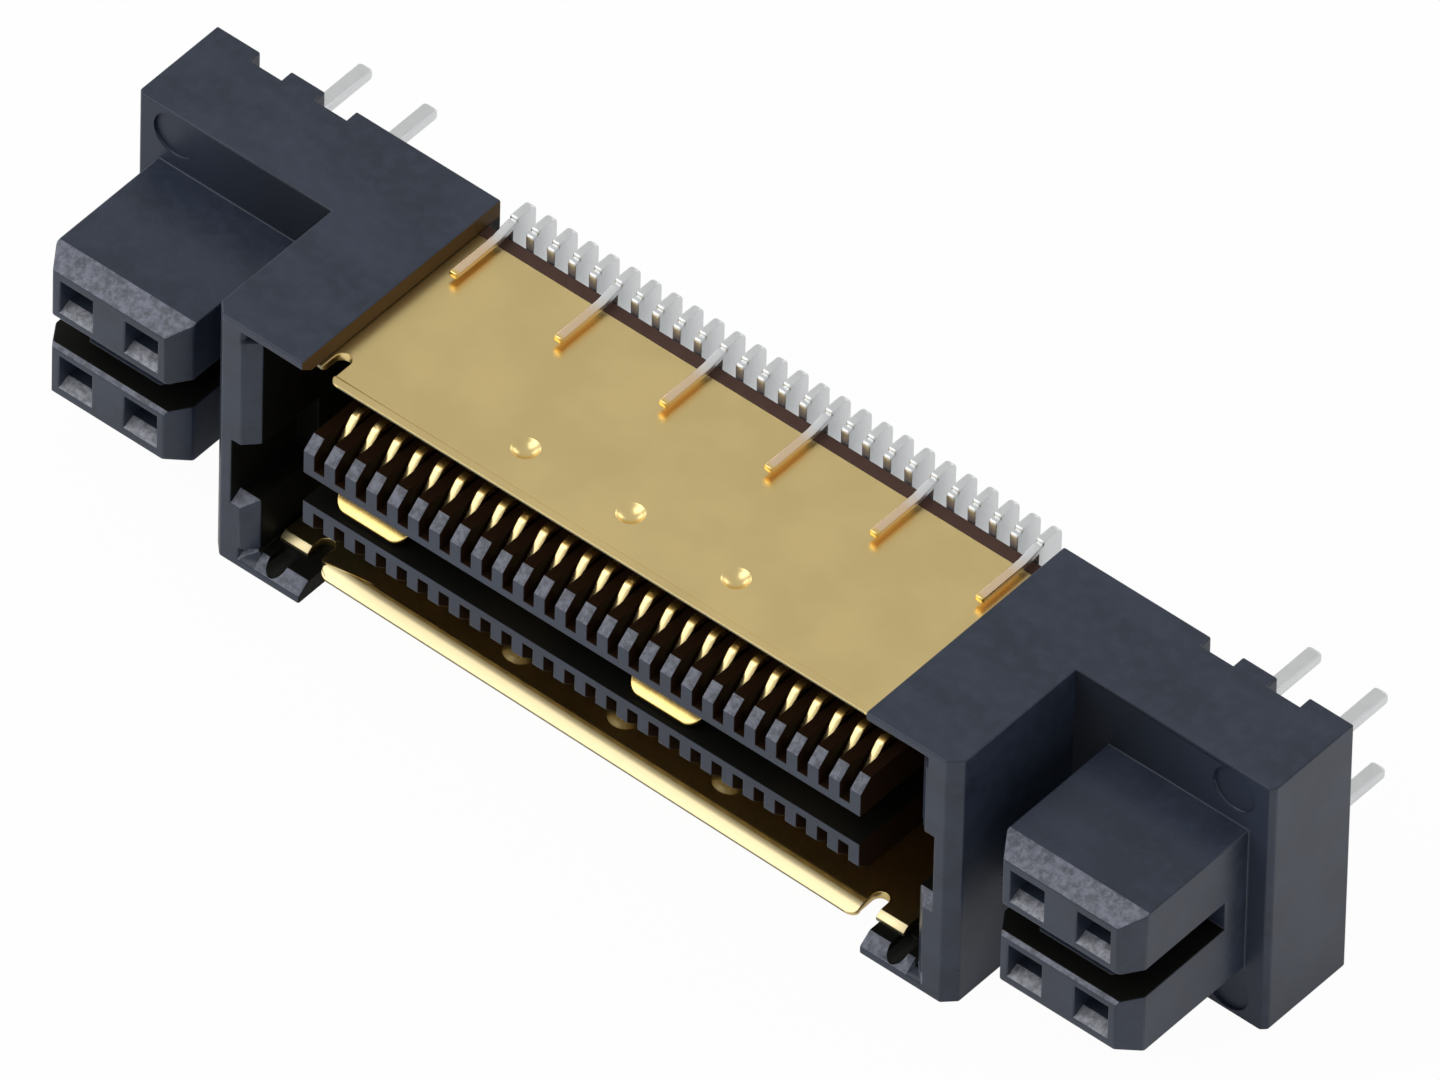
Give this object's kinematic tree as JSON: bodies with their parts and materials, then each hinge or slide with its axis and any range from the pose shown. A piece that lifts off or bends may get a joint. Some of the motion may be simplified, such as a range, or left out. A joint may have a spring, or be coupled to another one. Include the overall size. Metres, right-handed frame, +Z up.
{
  "type": "board-to-board connector",
  "caption": "Straight shielded board-to-board connector with two contact combs, keyed end blocks, power modules at both ends, solder feet and power pins.",
  "frame": {"origin": "middle of the bounding box, on the plane that the part lies on with one long side", "axes": "+X along the contact rows, +Y to the circuit board, -Y to the mating part, +Z up, across the two rows"},
  "size_m": [0.0432, 0.0132, 0.01],
  "materials": {
    "housing_plastic": "matt moulded, almost black",
    "shield_sheet": "satin pale gold",
    "plate_sheet": "satin gold",
    "contact_metal": "gold plated spring end, tin plated solder end",
    "power_contact_metal": "tin plated"
  },
  "bodies": {
    "root": {"housing": "housing_plastic", "upper_shield": "shield_sheet", "lower_shield": "shield_sheet", "ground_plate": "plate_sheet", "power_contacts_left_upper": "power_contact_metal", "power_contacts_left_lower": "power_contact_metal", "power_contacts_right_upper": "power_contact_metal", "power_contacts_right_lower": "power_contact_metal", "ground_contact_upper_01": "contact_metal", "signal_contact_upper_02": "contact_metal", "signal_contact_upper_03": "contact_metal", "signal_contact_upper_04": "contact_metal", "signal_contact_upper_05": "contact_metal", "ground_contact_upper_06": "contact_metal", "signal_contact_upper_07": "contact_metal", "signal_contact_upper_08": "contact_metal", "signal_contact_upper_09": "contact_metal", "signal_contact_upper_10": "contact_metal", "ground_contact_upper_11": "contact_metal", "signal_contact_upper_12": "contact_metal", "signal_contact_upper_13": "contact_metal", "signal_contact_upper_14": "contact_metal", "signal_contact_upper_15": "contact_metal", "ground_contact_upper_16": "contact_metal", "signal_contact_upper_17": "contact_metal", "signal_contact_upper_18": "contact_metal", "signal_contact_upper_19": "contact_metal", "signal_contact_upper_20": "contact_metal", "ground_contact_upper_21": "contact_metal", "signal_contact_upper_22": "contact_metal", "signal_contact_upper_23": "contact_metal", "signal_contact_upper_24": "contact_metal", "signal_contact_upper_25": "contact_metal", "ground_contact_upper_26": "contact_metal", "ground_contact_lower_01": "contact_metal", "signal_contact_lower_02": "contact_metal", "signal_contact_lower_03": "contact_metal", "signal_contact_lower_04": "contact_metal", "signal_contact_lower_05": "contact_metal", "ground_contact_lower_06": "contact_metal", "signal_contact_lower_07": "contact_metal", "signal_contact_lower_08": "contact_metal", "signal_contact_lower_09": "contact_metal", "signal_contact_lower_10": "contact_metal", "ground_contact_lower_11": "contact_metal", "signal_contact_lower_12": "contact_metal", "signal_contact_lower_13": "contact_metal", "signal_contact_lower_14": "contact_metal", "signal_contact_lower_15": "contact_metal", "ground_contact_lower_16": "contact_metal", "signal_contact_lower_17": "contact_metal", "signal_contact_lower_18": "contact_metal", "signal_contact_lower_19": "contact_metal", "signal_contact_lower_20": "contact_metal", "ground_contact_lower_21": "contact_metal", "signal_contact_lower_22": "contact_metal", "signal_contact_lower_23": "contact_metal", "signal_contact_lower_24": "contact_metal", "signal_contact_lower_25": "contact_metal", "ground_contact_lower_26": "contact_metal"}
  },
  "joints": []
}
